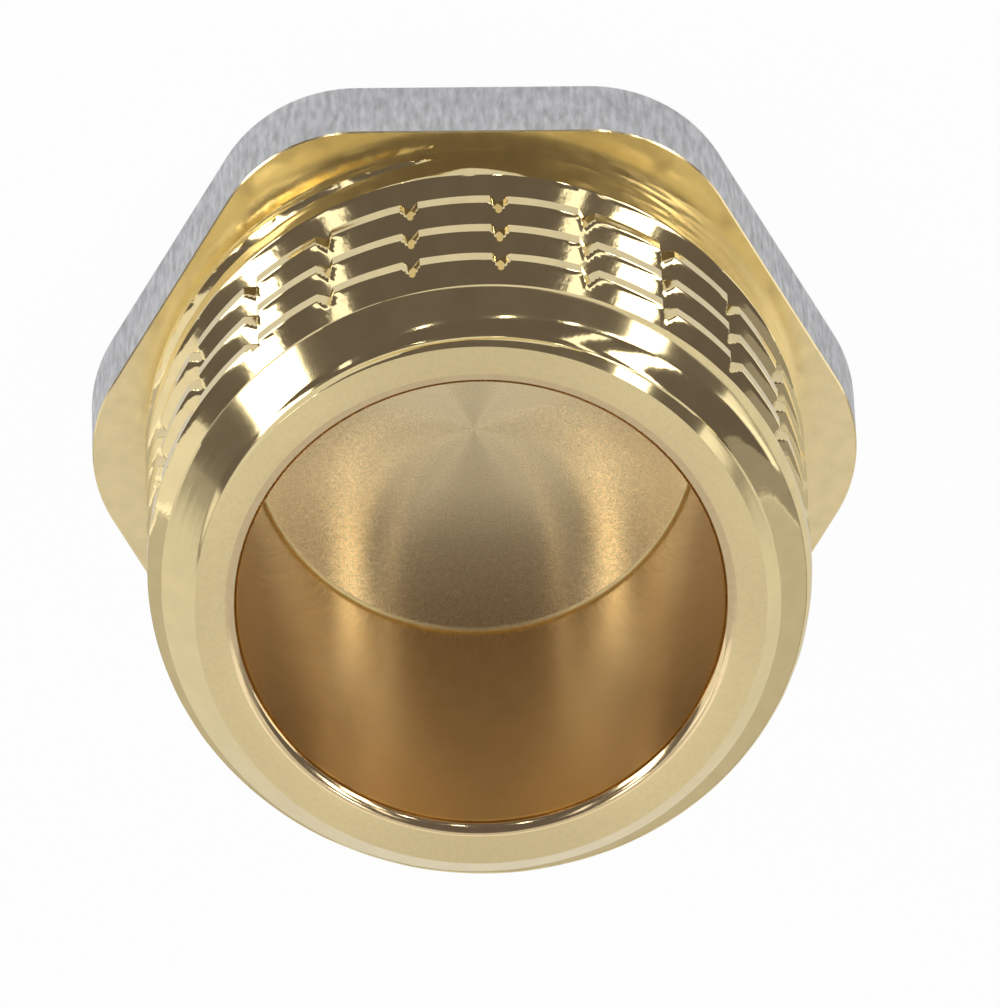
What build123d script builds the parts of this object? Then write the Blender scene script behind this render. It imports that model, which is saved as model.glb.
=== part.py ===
"""Hollow brass pipe plug: hexagon head, turned shoulder and a male G 1/4 thread with notched crests.

Millimetres. The plug stands on the back of its head, with +Z along the thread towards the open mouth.
The origin is the middle of the head's back face. Two flats of the hexagon face -Y and +Y.
"""
import math
import os

from build123d import *

# Hexagon head
ACROSS_FLATS = 14.0
HEAD_HEIGHT = 2.25
CORNER_RADIUS = 3.0
BACK_EDGE_RADIUS = 0.2

# Thread: right-hand parallel pipe thread, 19 turns to the inch, 55 degree flanks
THREAD_DIAMETER = 13.157
THREAD_PITCH = 1.337
THREAD_LENGTH = 7.2
FLANK_ANGLE = 55.0
DEPTH_PER_PITCH = 0.640327
CREST_FLAT = 0.34
FIRST_CREST = 0.94
CREST_BEARING = -90.0

# Run-out of the groove beside the shoulder
SHOULDER_LAND = 0.12
RUNOUT_TURN = 0.25
CUTTER_OVERSHOOT = 0.15

# Lead chamfer and rim at the mouth
CHAMFER_LENGTH = 1.2
RIM_DIAMETER = 11.3

# Blind bore, tapered towards its floor
MOUTH_DIAMETER = 9.6
FLOOR_DIAMETER = 9.0
BORE_DEPTH = 8.2
FLOOR_RADIUS = 0.2
MOUTH_ROUNDING = 0.25

# Sealing notches, cut along the crests
NOTCH_COUNT = 23
NOTCH_DEPTH = 0.2
NOTCH_WIDTH = 0.36
NOTCH_START = 1.5
NOTCH_END = 5.3
NOTCH_BEARING = -93.9

# Worked out from the values above
HEIGHT = HEAD_HEIGHT + THREAD_LENGTH
OUTER_RADIUS = THREAD_DIAMETER / 2
THREAD_DEPTH = DEPTH_PER_PITCH * THREAD_PITCH
ROOT_RADIUS = OUTER_RADIUS - THREAD_DEPTH
FLANK_SLOPE = math.tan(math.radians(FLANK_ANGLE / 2))
ROOT_FLAT = THREAD_PITCH - CREST_FLAT - 2 * THREAD_DEPTH * FLANK_SLOPE


def groove_half_width(radius):
    """Half the axial width of the thread groove at a distance from the axis."""
    return ROOT_FLAT / 2 + (radius - ROOT_RADIUS) * FLANK_SLOPE


def head():
    """Hexagon with rounded corners and a broken back edge."""
    outline = RegularPolygon(ACROSS_FLATS / 2, 6, major_radius=False)
    outline = fillet(outline.vertices(), CORNER_RADIUS)
    block = extrude(outline, HEAD_HEIGHT)
    return fillet(block.faces().sort_by(Axis.Z)[0].edges(), BACK_EDGE_RADIUS)


def shank_blank():
    """Turned shank before threading, with the lead chamfer at the mouth."""
    section = Polyline(
        (0, HEAD_HEIGHT),
        (OUTER_RADIUS, HEAD_HEIGHT),
        (OUTER_RADIUS, HEIGHT - CHAMFER_LENGTH),
        (RIM_DIAMETER / 2, HEIGHT),
        (0, HEIGHT),
        close=True,
    )
    return revolve(Plane.XZ * make_face(section), Axis.Z)


def groove_section(path, lift=0.0):
    """Section of the thread groove at the start of a path, lifted outwards from the root."""
    start = path @ 0
    radial = Vector(start.X, start.Y, 0).normalized()
    plane = Plane(origin=start + radial * lift, x_dir=radial, z_dir=Vector(0, 0, 1).cross(radial))
    top = THREAD_DEPTH + CUTTER_OVERSHOOT
    top_half = groove_half_width(ROOT_RADIUS + top)
    outline = Polyline((0, -ROOT_FLAT / 2), (top, -top_half), (top, top_half), (0, ROOT_FLAT / 2), close=True)
    return plane * make_face(outline)


def thread_groove():
    """Helical groove, one cutter for each turn, that fades out beside the shoulder."""
    lowest = SHOULDER_LAND + groove_half_width(OUTER_RADIUS)
    groove_at_bearing = FIRST_CREST + THREAD_PITCH / 2
    turns_back = (groove_at_bearing - lowest) / THREAD_PITCH
    start_angle = CREST_BEARING - 360 * turns_back
    turns = math.ceil((THREAD_LENGTH - lowest) / THREAD_PITCH) + 1

    turn_path = Helix(pitch=THREAD_PITCH, height=THREAD_PITCH, radius=ROOT_RADIUS)
    turn = sweep(groove_section(turn_path), path=turn_path, is_frenet=True)
    cutters = []
    for index in range(turns):
        cutters.append(Pos(0, 0, HEAD_HEIGHT + lowest + index * THREAD_PITCH) * Rot(0, 0, start_angle) * turn)

    fade_path = Helix(pitch=THREAD_PITCH, height=THREAD_PITCH * RUNOUT_TURN, radius=ROOT_RADIUS)
    shallow = groove_section(fade_path, lift=THREAD_DEPTH + CUTTER_OVERSHOOT)
    turned = Pos(0, 0, THREAD_PITCH * RUNOUT_TURN) * Rot(0, 0, 360 * RUNOUT_TURN)
    full = turned * groove_section(turn_path)
    fade = sweep([shallow, full], path=fade_path, multisection=True, is_frenet=True)
    fade_start = Pos(0, 0, HEAD_HEIGHT + lowest - THREAD_PITCH * RUNOUT_TURN)
    cutters.append(fade_start * Rot(0, 0, start_angle - 360 * RUNOUT_TURN) * fade)
    return cutters


def crest_notches():
    """V-shaped notches along the thread, cut into the crests to grip the sealing fibre."""
    reach = OUTER_RADIUS + CUTTER_OVERSHOOT
    half_width = NOTCH_WIDTH / 2 * (NOTCH_DEPTH + CUTTER_OVERSHOOT) / NOTCH_DEPTH
    outline = Polyline((OUTER_RADIUS - NOTCH_DEPTH, 0), (reach, -half_width), (reach, half_width), close=True)
    bar = Pos(0, 0, HEAD_HEIGHT + NOTCH_START) * extrude(make_face(outline), NOTCH_END - NOTCH_START)
    step = 360 / NOTCH_COUNT
    return [Rot(0, 0, NOTCH_BEARING + index * step) * bar for index in range(NOTCH_COUNT)]


def bore():
    """Tapered blind bore with a flat floor, a rounded floor corner and a rounded mouth edge."""
    floor = HEIGHT - BORE_DEPTH
    wall_end = (MOUTH_DIAMETER / 2, HEIGHT - MOUTH_ROUNDING)
    rim_end = (MOUTH_DIAMETER / 2 + MOUTH_ROUNDING, HEIGHT)
    half_way = MOUTH_ROUNDING * math.sqrt(0.5)
    middle = (rim_end[0] - half_way, wall_end[1] + half_way)
    sides = Polyline(rim_end, (0, HEIGHT), (0, floor), (FLOOR_DIAMETER / 2, floor), wall_end)
    section = make_face([sides, ThreePointArc(wall_end, middle, rim_end)])
    cutter = revolve(Plane.XZ * section, Axis.Z)
    return fillet(cutter.faces().sort_by(Axis.Z)[0].edges(), FLOOR_RADIUS)


def plug_body():
    """The whole plug, one piece of brass."""
    shank = shank_blank() - thread_groove()
    shank = shank - crest_notches()
    return head() + shank - bore()


os.makedirs("parts", exist_ok=True)
export_step(plug_body(), "parts/plug_body.step")
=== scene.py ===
"""Hollow brass pipe plug, standing on its hexagon head in a small photo studio.

Sizes are in millimetres in the values below and become metres in the meshes. The camera looks down into the
mouth.
"""

import math

import bmesh
import bpy
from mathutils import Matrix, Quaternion, Vector, noise


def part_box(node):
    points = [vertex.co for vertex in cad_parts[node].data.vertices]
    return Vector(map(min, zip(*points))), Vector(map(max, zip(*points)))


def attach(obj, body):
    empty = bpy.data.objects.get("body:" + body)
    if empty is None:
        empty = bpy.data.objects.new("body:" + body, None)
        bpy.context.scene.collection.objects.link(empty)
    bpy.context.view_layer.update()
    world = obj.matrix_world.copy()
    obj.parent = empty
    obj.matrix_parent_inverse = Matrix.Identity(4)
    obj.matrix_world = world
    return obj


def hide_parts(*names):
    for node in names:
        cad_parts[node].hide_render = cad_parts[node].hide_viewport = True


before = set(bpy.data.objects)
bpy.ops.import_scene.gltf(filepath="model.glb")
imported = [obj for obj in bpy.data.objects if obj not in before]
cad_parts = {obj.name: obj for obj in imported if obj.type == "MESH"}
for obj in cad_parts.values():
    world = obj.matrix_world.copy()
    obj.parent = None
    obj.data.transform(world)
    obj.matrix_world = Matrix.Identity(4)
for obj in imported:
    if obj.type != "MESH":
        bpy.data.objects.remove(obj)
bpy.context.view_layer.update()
NODE = "plug_body"
MM = 0.001

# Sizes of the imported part
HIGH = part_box(NODE)[1]
HEIGHT = HIGH.z / MM
HALF_FLATS = HIGH.y / MM

# Hexagon head
HEAD_HEIGHT = 2.25
CORNER_RADIUS = 3.0
BACK_EDGE_RADIUS = 0.2
SHOULDER_EDGE = 0.03

# Thread
OUTER_RADIUS = 13.157 / 2
PITCH = 1.337
THREAD_DEPTH = 0.640327 * PITCH
CREST_FLAT = 0.34
FLANK_SLOPE = math.tan(math.radians(55 / 2))
CREST_ROUNDING = 0.04
CREST_WEAR = 0.025
ROOT_ROUNDING = 0.05
FIRST_CREST = 0.94
CREST_BEARING = -90.0
LOWEST_GROOVE = 0.618
RUNOUT_TURN = 0.25
ROW_SPACING = 0.075
TURNS = 8
WELD_DISTANCE = 0.002
CUT_TOLERANCE = 0.0005

# Notches along the crests
NOTCH_COUNT = 23
NOTCH_DEPTH = 0.2
NOTCH_WIDTH = 0.36
NOTCH_START = 1.5
NOTCH_END = 5.3
NOTCH_BEARING = -93.9
NOTCH_COLUMNS = 3
PLAIN_COLUMNS = 4

# Mouth, rim and bore
CHAMFER_LENGTH = 1.2
CHAMFER_ROUNDING = 0.14
CHAMFER_TILT = (0.4, 0.75)
RIM_RADIUS = 5.65
MOUTH_RADIUS = 4.8
FLOOR_EDGE_RADIUS = 4.5
BORE_DEPTH = 8.2
FLOOR_RADIUS = 0.1
MOUTH_ROUNDING = 0.25

# Rings of the mesh
ROUNDING_STEPS = 8
BACK_EDGE_STEPS = 6
RIM_SHARES = (0.03, 0.5, 1.0)
BORE_SHARES = (0.33, 0.67, 1.0)
FLOOR_RINGS = (4.35, 3.0, 1.5, 0.4, 0.05)
BACK_RINGS = (5.0, 2.0, 0.05)
SHARP_ANGLE = 26.0

# Camera, from the fitted view of the photograph
IMAGE_WIDTH = 1000
IMAGE_HEIGHT = 1008
FOCAL_PIXELS = 30101.0
CAMERA_DISTANCE = 0.6
CAMERA_AZIMUTH = 2.14
CAMERA_ELEVATION = 64.57
CAMERA_ROLL = 177.56
SHOULDER_PIXEL = (474.7, 450.1)
SENSOR_WIDTH = 36.0

# Floor and brass
FLOOR_SIZE = 0.12
SEEN_WHITE = 0.97
MIRRORED_WHITE = 0.4
BRASS_TONE = (0.90, 0.75, 0.40)
# The mouth's rounded inner edge is a little darker than the rest of the brass: painted shade at the mouth
# edge.
MOUTH_TONE_PAINTED_SHADE = (0.88, 0.70, 0.40)
# The bore wall's brass is darker than the outside: painted shade inside the bore.
BORE_TONE_PAINTED_SHADE = (0.79, 0.60, 0.37)
FLOOR_TONE = (0.90, 0.76, 0.46)
SHOULDER_TONE = (0.93, 0.78, 0.43)

# Softboxes that stand on the floor: bearing from the front, distance, width, height and radiance
STANDING_SOFTBOXES = {
    "left_softbox": (57.5, 0.25, 0.080, 0.133, 4.5),
    "right_softbox": (-45, 0.25, 0.042, 0.133, 4.5),
    "left_wall": (96, 0.45, 0.16, 0.7, 0.75),
    "right_wall": (-98, 0.45, 0.12, 0.7, 0.2),
    "right_low": (-80, 0.45, 0.18, 0.12, 1.1),
}

# Softboxes above the floor, aimed at the plug: bearing, elevation, distance, width, height and radiance
SKY_SOFTBOXES = {
    "left_top": (63, 42.5, 0.35, 0.038, 0.155, 4.5),
    "right_top": (-57, 42.5, 0.35, 0.038, 0.155, 4.5),
    "left_strip": (38, 48, 0.35, 0.02, 0.14, 1.4),
    "right_strip": (-39, 48, 0.35, 0.02, 0.14, 1.4),
    "left_upper": (79, 70, 0.5, 0.026, 0.06, 8.5),
    "right_upper": (-76, 70, 0.5, 0.026, 0.06, 8.5),
    "lamp_1": (14, 24, 0.5, 0.016, 0.03, 22.0),
    "lamp_2": (-9, 24, 0.5, 0.016, 0.03, 22.0),
    "lamp_3": (-27, 24, 0.5, 0.016, 0.03, 22.0),
    "lamp_4": (-38, 24, 0.5, 0.016, 0.03, 22.0),
}

# Material slots of the mesh
THREAD, CHAMFER, RIM, MOUTH, BORE, CORNER, FLOOR, SHOULDER, PLATED = range(9)


def polar(vertex):
    """Distance from the axis, bearing in radians and height of a vertex, lengths in millimetres."""
    place = vertex.co / MM
    return math.hypot(place.x, place.y), math.atan2(place.y, place.x), place.z


def put(vertex, radius, bearing, height):
    """Moves a vertex to a place given in millimetres and radians."""
    vertex.co = Vector((radius * math.cos(bearing), radius * math.sin(bearing), height)) * MM


def thread_section(bm):
    """One pitch of the thread as a wire, from the middle of one crest to the middle of the next."""
    root = OUTER_RADIUS - THREAD_DEPTH
    flank = THREAD_DEPTH * FLANK_SLOPE
    corners = (
        (OUTER_RADIUS, 0.0),
        (OUTER_RADIUS, CREST_FLAT / 2),
        (root, CREST_FLAT / 2 + flank),
        (root, PITCH - CREST_FLAT / 2 - flank),
        (OUTER_RADIUS, PITCH - CREST_FLAT / 2),
        (OUTER_RADIUS, PITCH),
    )
    points = [bm.verts.new(Vector((radius, 0.0, height)) * MM) for radius, height in corners]
    for first, second in zip(points, points[1:]):
        bm.edges.new((first, second))
    for chosen, rounding in ((points[1:5:3], CREST_ROUNDING), (points[2:4], ROOT_ROUNDING)):
        bmesh.ops.bevel(
            bm, geom=chosen, offset=rounding * MM, segments=2, profile=0.5, affect="VERTICES", material=-1
        )
    for edge in bm.edges[:]:
        cuts = round(edge.calc_length() / (ROW_SPACING * MM)) - 1
        if cuts > 0:
            bmesh.ops.subdivide_edges(bm, edges=[edge], cuts=cuts)


def gather_columns(bm):
    """Slides the thread's columns along its helix, so that some lie at each notch's edges and bottom."""
    sector = 2 * math.pi / NOTCH_COUNT
    half = NOTCH_WIDTH / 2 / OUTER_RADIUS / (sector / 2)
    even_half = NOTCH_COLUMNS / (NOTCH_COLUMNS + PLAIN_COLUMNS)
    for vertex in bm.verts:
        radius, bearing, height = polar(vertex)
        share = ((bearing - math.radians(NOTCH_BEARING)) / sector + 0.5) % 1.0
        offset = 2 * share - 1
        reach = abs(offset)
        if reach < even_half:
            wanted = reach * half / even_half
        else:
            wanted = half + (reach - even_half) * (1 - half) / (1 - even_half)
        turn = (math.copysign(wanted, offset) - offset) * sector / 2
        put(vertex, radius, bearing + turn, height + PITCH * turn / (2 * math.pi))


def groove_lift(bearing, above):
    """How far the groove is lifted out of the wall, at a bearing and a height above the shoulder."""
    turn = (math.degrees(bearing) - CREST_BEARING + 180) % 360 / 360 - 0.5
    crest = math.floor((above - FIRST_CREST) / PITCH - turn + 1e-6)
    lowest_turn = (LOWEST_GROOVE - FIRST_CREST) / PITCH - 0.5
    return THREAD_DEPTH * max(0.0, lowest_turn - crest - turn) / RUNOUT_TURN


def notch_radius(bearing, above):
    """Distance from the axis to the bottom of a notch, or a large number away from the notches."""
    sector = 2 * math.pi / NOTCH_COUNT
    offset = ((bearing - math.radians(NOTCH_BEARING)) / sector + 0.5) % 1.0 - 0.5
    side = abs(offset) * sector * OUTER_RADIUS / (NOTCH_WIDTH / 2)
    if not NOTCH_START < above < NOTCH_END or side > 1.0:
        return math.inf
    return OUTER_RADIUS - NOTCH_DEPTH * (1 - side)


def crest_radius(bearing, above):
    """Distance from the axis to the slightly uneven crests."""
    turn = (above - FIRST_CREST) / PITCH
    place = Vector((9 * math.cos(bearing), 9 * math.sin(bearing), 4 * turn))
    return OUTER_RADIUS - CREST_WEAR * (0.5 + 0.5 * noise.noise(place))


def rounded_least(first, second):
    """The lesser of two distances, rounded off where they meet."""
    overlap = max(0.0, 1 - abs(first - second) / CHAMFER_ROUNDING)
    return min(first, second) - CHAMFER_ROUNDING * overlap**2 / 4


def thread_wall(bm):
    """The threaded outside of the shank, with its run-out, lead chamfer and notches, cut off at both ends."""
    thread_section(bm)
    steps = NOTCH_COUNT * 2 * (NOTCH_COLUMNS + PLAIN_COLUMNS)
    start = math.radians(NOTCH_BEARING) - math.pi / NOTCH_COUNT
    rise = Vector((0, 0, PITCH * MM / steps))
    lift = FIRST_CREST + PITCH * (math.degrees(start) - CREST_BEARING) / 360
    lift = lift % PITCH - 2 * PITCH + HEAD_HEIGHT
    for vertex in bm.verts:
        put(vertex, vertex.co.x / MM, start, vertex.co.z / MM + lift)
    section = bm.verts[:] + bm.edges[:]
    bmesh.ops.spin(bm, geom=section, axis=(0, 0, 1), dvec=rise, angle=2 * math.pi, steps=steps)
    gather_columns(bm)
    turn = bm.verts[:] + bm.edges[:] + bm.faces[:]
    for index in range(1, TURNS):
        copy = bmesh.ops.duplicate(bm, geom=turn)["geom"]
        moved = [item for item in copy if isinstance(item, bmesh.types.BMVert)]
        bmesh.ops.translate(bm, vec=(0, 0, index * PITCH * MM), verts=moved)
    bmesh.ops.remove_doubles(bm, verts=bm.verts[:], dist=WELD_DISTANCE * MM)
    slope = (OUTER_RADIUS - RIM_RADIUS) / CHAMFER_LENGTH
    for vertex in bm.verts:
        radius, bearing, height = polar(vertex)
        above = height - HEAD_HEIGHT
        radius = min(OUTER_RADIUS, radius + groove_lift(bearing, above))
        cone = RIM_RADIUS + (HEIGHT - height) * slope
        radius = min(radius, crest_radius(bearing, above), notch_radius(bearing, above))
        radius = rounded_least(radius, cone)
        put(vertex, radius, bearing, height)
    for height, side in ((HEAD_HEIGHT, -1), (HEIGHT, 1)):
        bmesh.ops.bisect_plane(
            bm,
            geom=bm.verts[:] + bm.edges[:] + bm.faces[:],
            dist=CUT_TOLERANCE * MM,
            plane_co=(0, 0, height * MM),
            plane_no=(0, 0, side),
            clear_outer=True,
        )


def open_loop(bm, height):
    """Edges of the open end at a height."""
    return [
        edge
        for edge in bm.edges
        if edge.is_boundary and all(abs(vertex.co.z / MM - height) < 0.01 for vertex in edge.verts)
    ]


def ring(bm, loop, place, material):
    """Extrudes a closed loop by one ring, puts its vertices at place(bearing) and returns the new loop."""
    made = bmesh.ops.extrude_edge_only(bm, edges=loop)["geom"]
    fresh = {item for item in made if isinstance(item, bmesh.types.BMVert)}
    for vertex in fresh:
        bearing = math.atan2(vertex.co.y, vertex.co.x)
        put(vertex, *place(bearing))
    for item in made:
        if isinstance(item, bmesh.types.BMFace):
            item.material_index = material
    return [item for item in made if isinstance(item, bmesh.types.BMEdge) and set(item.verts) <= fresh]


def round_place(radius, height):
    """Places a ring of the loop on a circle."""
    return lambda bearing: (radius, bearing, height)


def hexagon_place(inset, height):
    """Places a ring of the loop on the rounded hexagon, drawn in by an inset."""
    return lambda bearing: (hexagon_radius(bearing, inset), bearing, height)


def hexagon_radius(bearing, inset):
    """Distance from the axis to the rounded hexagon's outline at a bearing."""
    flats = HALF_FLATS - inset
    corner = CORNER_RADIUS - inset
    centre = (flats - corner) / math.cos(math.radians(30))
    sixth = math.pi / 3
    off = abs((bearing + sixth / 2) % sixth - sixth / 2)
    tangent = math.atan2(corner * 0.5, centre + corner * math.cos(math.radians(30)))
    if off < tangent:
        return centre * math.cos(off) + math.sqrt(corner**2 - (centre * math.sin(off)) ** 2)
    return flats / math.cos(math.radians(30) - off)


def close_loop(bm, loop, height):
    """Closes a loop at the axis."""
    points = list({vertex for edge in loop for vertex in edge.verts})
    bmesh.ops.pointmerge(bm, verts=points, merge_co=(0, 0, height * MM))


def mouth_and_bore(bm):
    """Rim, rounded mouth edge, tapered bore wall, floor corner and floor, from the thread's upper end."""
    floor = HEIGHT - BORE_DEPTH
    loop = open_loop(bm, HEIGHT)
    inner = MOUTH_RADIUS + MOUTH_ROUNDING
    for share in RIM_SHARES:
        loop = ring(bm, loop, round_place(RIM_RADIUS + (inner - RIM_RADIUS) * share, HEIGHT), RIM)
    for step in range(1, ROUNDING_STEPS + 1):
        angle = math.radians(90) * step / ROUNDING_STEPS
        height = HEIGHT - MOUTH_ROUNDING * (1 - math.cos(angle))
        loop = ring(bm, loop, round_place(inner - MOUTH_ROUNDING * math.sin(angle), height), MOUTH)
    for share in BORE_SHARES:
        radius = MOUTH_RADIUS + (FLOOR_EDGE_RADIUS - MOUTH_RADIUS) * share
        height = HEIGHT - MOUTH_ROUNDING - (BORE_DEPTH - MOUTH_ROUNDING - FLOOR_RADIUS) * share
        loop = ring(bm, loop, round_place(radius, height), BORE)
    for step in range(1, ROUNDING_STEPS + 1):
        angle = math.radians(90) * step / ROUNDING_STEPS
        radius = FLOOR_EDGE_RADIUS - FLOOR_RADIUS * (1 - math.cos(angle))
        loop = ring(bm, loop, round_place(radius, floor + FLOOR_RADIUS * (1 - math.sin(angle))), CORNER)
    for radius in FLOOR_RINGS:
        loop = ring(bm, loop, round_place(radius, floor), FLOOR)
    close_loop(bm, loop, floor)


def head(bm):
    """Shoulder, hexagon sides, rounded back edge and back, from the other open end of the thread."""
    loop = open_loop(bm, HEAD_HEIGHT)
    loop = ring(bm, loop, hexagon_place(SHOULDER_EDGE, HEAD_HEIGHT), SHOULDER)
    loop = ring(bm, loop, hexagon_place(0.0, HEAD_HEIGHT - SHOULDER_EDGE), SHOULDER)
    loop = ring(bm, loop, hexagon_place(0.0, BACK_EDGE_RADIUS), PLATED)
    for step in range(1, BACK_EDGE_STEPS + 1):
        angle = math.radians(90) * step / BACK_EDGE_STEPS
        inset = BACK_EDGE_RADIUS * (1 - math.cos(angle))
        loop = ring(bm, loop, hexagon_place(inset, BACK_EDGE_RADIUS * (1 - math.sin(angle))), PLATED)
    for radius in BACK_RINGS:
        loop = ring(bm, loop, round_place(radius, 0.0), PLATED)
    close_loop(bm, loop, 0.0)


def on_chamfer(face):
    """Whether a face of the threaded wall lies on the cone of the lead chamfer."""
    high = face.calc_center_median().z / MM > HEIGHT - CHAMFER_LENGTH - CHAMFER_ROUNDING
    return high and CHAMFER_TILT[0] < abs(face.normal.z) < CHAMFER_TILT[1]


def plug_mesh():
    """The whole plug as one closed mesh."""
    bm = bmesh.new()
    thread_wall(bm)
    bm.normal_update()
    for face in bm.faces:
        face.material_index = CHAMFER if on_chamfer(face) else THREAD
    mouth_and_bore(bm)
    head(bm)
    bmesh.ops.recalc_face_normals(bm, faces=bm.faces[:])
    for face in bm.faces:
        face.smooth = True
    mesh = bpy.data.meshes.new("plug")
    bm.to_mesh(mesh)
    bm.free()
    mesh.set_sharp_from_angle(angle=math.radians(SHARP_ANGLE))
    return mesh


def new_material(name):
    """An empty node material and its Principled shader."""
    material = bpy.data.materials.new(name)
    material.use_nodes = True
    return material, material.node_tree.nodes["Principled BSDF"]


def add(tree, kind, **settings):
    """A new shader node with some settings."""
    node = tree.nodes.new("ShaderNode" + kind)
    for name, value in settings.items():
        setattr(node, name, value)
    return node


def calculate(tree, operation, first, second):
    """The output of a math node. Each input is a socket or a number."""
    node = add(tree, "Math", operation=operation)
    for socket, value in zip(node.inputs, (first, second)):
        if isinstance(value, (int, float)):
            socket.default_value = value
        else:
            tree.links.new(value, socket)
    return node.outputs["Value"]


def new_group(name, inputs, outputs):
    """An empty shader node group with its input and output nodes. Sockets are pairs of a name and a type."""
    tree = bpy.data.node_groups.new(name, "ShaderNodeTree")
    for direction, sockets in (("INPUT", inputs), ("OUTPUT", outputs)):
        for socket, kind in sockets:
            tree.interface.new_socket(socket, in_out=direction, socket_type="NodeSocket" + kind)
    return tree, tree.nodes.new("NodeGroupInput"), tree.nodes.new("NodeGroupOutput")


def use_group(tree, group, **values):
    """A node that uses a group in another tree, with values for its inputs."""
    node = add(tree, "Group", node_tree=group)
    for name, value in values.items():
        node.inputs[name].default_value = value
    return node


def turned_place():
    """Node group: distance from the axis and height in millimetres, and the direction away from the axis."""
    outputs = (("Radius", "Float"), ("Height", "Float"), ("Outwards", "Vector"))
    tree, _, result = new_group("turned_place", (), outputs)
    place = add(tree, "TexCoord")
    flat = add(tree, "VectorMath", operation="MULTIPLY")
    flat.inputs[1].default_value = (1000.0, 1000.0, 0.0)
    length = add(tree, "VectorMath", operation="LENGTH")
    outwards = add(tree, "VectorMath", operation="NORMALIZE")
    split = add(tree, "SeparateXYZ")
    tree.links.new(place.outputs["Object"], flat.inputs[0])
    tree.links.new(place.outputs["Object"], split.inputs["Vector"])
    tree.links.new(flat.outputs["Vector"], length.inputs[0])
    tree.links.new(flat.outputs["Vector"], outwards.inputs[0])
    tree.links.new(length.outputs["Value"], result.inputs["Radius"])
    tree.links.new(calculate(tree, "MULTIPLY", split.outputs["Z"], 1000.0), result.inputs["Height"])
    tree.links.new(outwards.outputs["Vector"], result.inputs["Outwards"])
    return tree


def turning_marks(turned):
    """Node group: a mask of fine uneven rings around the axis."""
    tree, given, result = new_group("turning_marks", (("Rings per mm", "Float"),), (("Marks", "Float"),))
    place = use_group(tree, turned)
    split = add(tree, "SeparateXYZ")
    rings = add(tree, "CombineXYZ")
    grain = add(tree, "TexNoise", noise_dimensions="4D")
    grain.inputs["Scale"].default_value = 1.0
    grain.inputs["Detail"].default_value = 1.0
    tree.links.new(place.outputs["Outwards"], split.inputs["Vector"])
    across = calculate(tree, "MULTIPLY", place.outputs["Radius"], given.outputs["Rings per mm"])
    tree.links.new(across, rings.inputs["X"])
    tree.links.new(split.outputs["X"], rings.inputs["Y"])
    tree.links.new(split.outputs["Y"], rings.inputs["Z"])
    tree.links.new(rings.outputs["Vector"], grain.inputs["Vector"])
    upwards = calculate(tree, "MULTIPLY", place.outputs["Height"], given.outputs["Rings per mm"])
    tree.links.new(upwards, grain.inputs["W"])
    tree.links.new(grain.outputs["Fac"], result.inputs["Marks"])
    return tree


def metal_grain():
    """Node group: a mask of specks, which can be stretched along the axis into streaks."""
    inputs = (("Specks per mm", "Float"), ("Stretch", "Float"))
    tree, given, result = new_group("metal_grain", inputs, (("Grain", "Float"),))
    place = add(tree, "TexCoord")
    squeeze = add(tree, "CombineXYZ")
    squeeze.inputs["X"].default_value = 1000.0
    squeeze.inputs["Y"].default_value = 1000.0
    scaled = add(tree, "VectorMath", operation="MULTIPLY")
    grain = add(tree, "TexNoise")
    grain.inputs["Detail"].default_value = 3.0
    tree.links.new(calculate(tree, "DIVIDE", 1000.0, given.outputs["Stretch"]), squeeze.inputs["Z"])
    tree.links.new(place.outputs["Object"], scaled.inputs[0])
    tree.links.new(squeeze.outputs["Vector"], scaled.inputs[1])
    tree.links.new(scaled.outputs["Vector"], grain.inputs["Vector"])
    tree.links.new(given.outputs["Specks per mm"], grain.inputs["Scale"])
    tree.links.new(grain.outputs["Fac"], result.inputs["Grain"])
    return tree


def relief(tree, *layers):
    """A normal for a surface with fine relief. Each layer is a mask and its depth in millimetres."""
    height = calculate(tree, "MULTIPLY", *layers[0])
    for mask, depth in layers[1:]:
        height = calculate(tree, "ADD", height, calculate(tree, "MULTIPLY", mask, depth))
    bump = add(tree, "Bump")
    bump.inputs["Distance"].default_value = MM
    tree.links.new(height, bump.inputs["Height"])
    return bump.outputs["Normal"]


def spread(tree, mask, low, high):
    """A mask from 0 to 1 mapped to a range."""
    node = add(tree, "MapRange")
    node.inputs["From Min"].default_value = 0.3
    node.inputs["From Max"].default_value = 0.7
    node.inputs["To Min"].default_value = low
    node.inputs["To Max"].default_value = high
    tree.links.new(mask, node.inputs["Value"])
    return node.outputs["Result"]


def blend_colours(tree, mask, low, high):
    """A colour between two, by a mask from 0 to 1."""
    node = add(tree, "Mix", data_type="RGBA")
    first, second = [socket for socket in node.inputs if socket.type == "RGBA"]
    first.default_value = low
    second.default_value = high
    tree.links.new(spread(tree, mask, 0.0, 1.0), node.inputs["Factor"])
    return next(socket for socket in node.outputs if socket.type == "RGBA")


def across_marks(tree):
    """The direction across the turning marks: outwards and down, which suits a turned face of any slope."""
    place = add(tree, "TexCoord")
    flat = add(tree, "VectorMath", operation="MULTIPLY")
    flat.inputs[1].default_value = (1.0, 1.0, 0.0)
    outwards = add(tree, "VectorMath", operation="NORMALIZE")
    slope = add(tree, "VectorMath", operation="SUBTRACT")
    slope.inputs[1].default_value = (0.0, 0.0, 1.0)
    tree.links.new(place.outputs["Object"], flat.inputs[0])
    tree.links.new(flat.outputs["Vector"], outwards.inputs[0])
    tree.links.new(outwards.outputs["Vector"], slope.inputs[0])
    return slope.outputs["Vector"]


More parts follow.
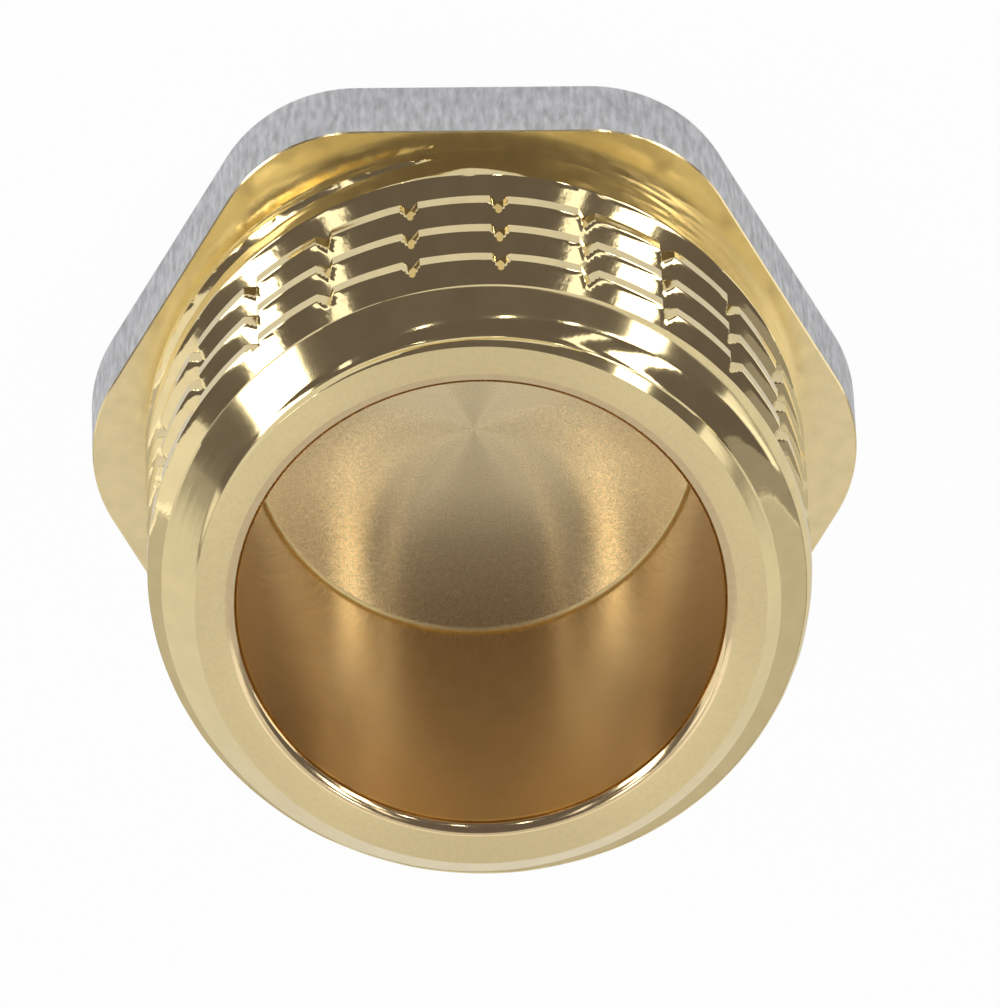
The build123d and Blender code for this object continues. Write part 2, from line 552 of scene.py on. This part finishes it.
def brass(name, groups, roughness, marks, grain, anisotropic=0.0, tone=BRASS_TONE):
    """Bare machined brass. Marks are rings per mm and depth, grain is specks per mm, stretch and depth."""
    material, shader = new_material(name)
    tree = material.node_tree
    rings, speckle = groups
    lines = use_group(tree, rings, **{"Rings per mm": marks[0]}).outputs["Marks"]
    specks = use_group(tree, speckle, **{"Specks per mm": grain[0], "Stretch": grain[1]}).outputs["Grain"]
    shader.inputs["Metallic"].default_value = 1.0
    dull = [share * 0.96 for share in tone]
    fresh = [share * 1.04 for share in tone]
    tree.links.new(blend_colours(tree, specks, (*dull, 1.0), (*fresh, 1.0)), shader.inputs["Base Color"])
    tree.links.new(spread(tree, specks, roughness * 0.94, roughness * 1.06), shader.inputs["Roughness"])
    layers = [layer for layer in ((lines, marks[1]), (specks, grain[2])) if layer[1]]
    tree.links.new(relief(tree, *layers), shader.inputs["Normal"])
    if anisotropic:
        shader.inputs["Anisotropic"].default_value = anisotropic
        tree.links.new(across_marks(tree), shader.inputs["Tangent"])
    return material


def plated(groups):
    """Matt silver plating on the unmachined sides of the hexagon, streaked along the axis."""
    material, shader = new_material("plated_side")
    tree = material.node_tree
    speckle = groups[1]
    streaks = use_group(tree, speckle, **{"Specks per mm": 8.0, "Stretch": 5.0}).outputs["Grain"]
    shader.inputs["Metallic"].default_value = 1.0
    shader.inputs["Roughness"].default_value = 0.5
    colour = blend_colours(tree, streaks, (0.48, 0.49, 0.50, 1.0), (0.78, 0.79, 0.81, 1.0))
    tree.links.new(colour, shader.inputs["Base Color"])
    tree.links.new(relief(tree, (streaks, 0.04)), shader.inputs["Normal"])
    return material


def plug():
    """The finished plug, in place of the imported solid."""
    mesh = plug_mesh()
    groups = (turning_marks(turned_place()), metal_grain())
    finishes = {
        THREAD: brass("thread_brass", groups, 0.07, (7.0, 0.001), (2.2, 6.0, 0.003)),
        CHAMFER: brass("chamfer_brass", groups, 0.12, (7.0, 0.001), (2.2, 6.0, 0.001), 0.5),
        RIM: brass("rim_brass", groups, 0.30, (9.0, 0.0006), (12.0, 1.0, 0.0), 0.8),
        # The darker tone of the mouth's rounded edge is painted shade.
        MOUTH: brass("mouth_brass_painted_shade", groups, 0.12, (9.0, 0.0005), (5.0, 1.0, 0.0005), tone=MOUTH_TONE_PAINTED_SHADE),
        # The darker tone of the bore wall is painted shade inside the bore.
        BORE: brass("bore_brass_painted_shade", groups, 0.22, (5.0, 0.0003), (2.0, 1.0, 0.0), 0.85, BORE_TONE_PAINTED_SHADE),
        CORNER: brass("corner_brass", groups, 0.34, (9.0, 0.0005), (5.0, 1.0, 0.0005)),
        FLOOR: brass("floor_brass", groups, 0.27, (4.0, 0.0003), (12.0, 1.0, 0.0), 0.92, FLOOR_TONE),
        SHOULDER: brass("shoulder_brass", groups, 0.2, (7.0, 0.0007), (3.0, 1.0, 0.001), tone=SHOULDER_TONE),
        PLATED: plated(groups),
    }
    for index in sorted(finishes):
        mesh.materials.append(finishes[index])
    piece = bpy.data.objects.new("plug", mesh)
    bpy.context.scene.collection.objects.link(piece)
    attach(piece, "root")
    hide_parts(NODE)
    return piece


def floor():
    """Pale studio floor, white to the camera and in reflections, that still takes the plug's shadow."""
    bm = bmesh.new()
    bmesh.ops.create_circle(bm, cap_ends=True, segments=96, radius=FLOOR_SIZE)
    mesh = bpy.data.meshes.new("floor")
    bm.to_mesh(mesh)
    bm.free()
    material, shader = new_material("pale_floor")
    nodes, links = material.node_tree.nodes, material.node_tree.links
    shader.inputs["Base Color"].default_value = (0.9, 0.9, 0.9, 1.0)
    shader.inputs["Roughness"].default_value = 0.9
    glow = nodes.new("ShaderNodeEmission")
    rays = nodes.new("ShaderNodeLightPath")
    seen = calculate(material.node_tree, "MULTIPLY", rays.outputs["Is Camera Ray"], SEEN_WHITE)
    mirrored = calculate(material.node_tree, "MULTIPLY", rays.outputs["Is Glossy Ray"], MIRRORED_WHITE)
    share = calculate(material.node_tree, "MAXIMUM", seen, mirrored)
    blend = nodes.new("ShaderNodeMixShader")
    output = nodes["Material Output"]
    links.new(share, blend.inputs["Fac"])
    links.new(shader.outputs["BSDF"], blend.inputs[1])
    links.new(glow.outputs["Emission"], blend.inputs[2])
    links.new(blend.outputs["Shader"], output.inputs["Surface"])
    mesh.materials.append(material)
    piece = bpy.data.objects.new("floor", mesh)
    bpy.context.scene.collection.objects.link(piece)


def softbox(name, place, aim, width, height, radiance):
    """A soft rectangular lamp that shines with an even radiance."""
    lamp = bpy.data.lights.new(name, "AREA")
    lamp.shape = "RECTANGLE"
    lamp.size = width
    lamp.size_y = height
    lamp.energy = radiance * math.pi * width * height
    item = bpy.data.objects.new(name, lamp)
    item.location = place
    item.rotation_mode = "QUATERNION"
    item.rotation_quaternion = (Vector(aim) - Vector(place)).to_track_quat("-Z", "Y")
    item.visible_camera = False
    bpy.context.scene.collection.objects.link(item)


def on_sky(bearing, elevation, distance):
    """A place at a bearing from the front, positive to the +X side, and at an elevation."""
    side, rise = math.radians(bearing), math.radians(elevation)
    flat = math.cos(rise) * distance
    return Vector((math.sin(side) * flat, -math.cos(side) * flat, math.sin(rise) * distance))


def standing_softbox(name, bearing, distance, width, height, radiance):
    """A tall softbox on the floor, at a bearing from the front, positive to the +X side."""
    side = math.radians(bearing)
    place = Vector((math.sin(side) * distance, -math.cos(side) * distance, height / 2))
    softbox(name, place, (0, 0, height / 2), width, height, radiance)


def studio_light():
    """Two standing softboxes at the sides, pale panels behind and above, and small lamps."""
    for name, (bearing, distance, width, height, radiance) in STANDING_SOFTBOXES.items():
        standing_softbox(name, bearing, distance, width, height, radiance)
    for name, (bearing, elevation, distance, width, height, radiance) in SKY_SOFTBOXES.items():
        softbox(name, on_sky(bearing, elevation, distance), (0, 0, 0), width, height, radiance)
    softbox("pale_wall", (0, 0.25, 0.45), (0, 0, 0.45), 1.9, 0.9, 0.43)
    softbox("ceiling", (0, 0.13, 0.65), (0, 0.13, 0), 1.2, 0.30, 0.5)
    world = bpy.data.worlds.new("room")
    bpy.context.scene.world = world
    world.use_nodes = True
    nodes, links = world.node_tree.nodes, world.node_tree.links
    room = nodes["Background"]
    room.inputs["Color"].default_value = (0.135, 0.118, 0.122, 1.0)
    backdrop = nodes.new("ShaderNodeBackground")
    backdrop.inputs["Color"].default_value = (1.0, 1.0, 1.0, 1.0)
    rays = nodes.new("ShaderNodeLightPath")
    blend = nodes.new("ShaderNodeMixShader")
    links.new(rays.outputs["Is Camera Ray"], blend.inputs["Fac"])
    links.new(room.outputs["Background"], blend.inputs[1])
    links.new(backdrop.outputs["Background"], blend.inputs[2])
    links.new(blend.outputs["Shader"], nodes["World Output"].inputs["Surface"])


def camera():
    """Long lens that looks into the mouth, turned so that the head is at the top of the picture."""
    lens = bpy.data.cameras.new("camera")
    lens.sensor_width = SENSOR_WIDTH
    lens.lens = FOCAL_PIXELS / max(IMAGE_WIDTH, IMAGE_HEIGHT) * SENSOR_WIDTH
    lens.clip_start = 0.01
    lens.clip_end = 10.0
    azimuth, elevation = math.radians(CAMERA_AZIMUTH), math.radians(CAMERA_ELEVATION)
    back = Vector((
        math.sin(azimuth) * math.cos(elevation),
        -math.cos(azimuth) * math.cos(elevation),
        math.sin(elevation),
    ))
    turn = (-back).to_track_quat("-Z", "Y") @ Quaternion((0, 0, 1), math.radians(CAMERA_ROLL))
    metres_per_pixel = CAMERA_DISTANCE / FOCAL_PIXELS
    aside = Vector((
        (IMAGE_WIDTH / 2 - SHOULDER_PIXEL[0]) * metres_per_pixel,
        (SHOULDER_PIXEL[1] - IMAGE_HEIGHT / 2) * metres_per_pixel,
        CAMERA_DISTANCE,
    ))
    item = bpy.data.objects.new("camera", lens)
    item.rotation_mode = "QUATERNION"
    item.rotation_quaternion = turn
    item.location = Vector((0, 0, HEAD_HEIGHT * MM)) + turn @ aside
    bpy.context.scene.collection.objects.link(item)
    bpy.context.scene.camera = item


plug()
floor()
studio_light()
camera()
bpy.context.scene.view_settings.view_transform = "Standard"
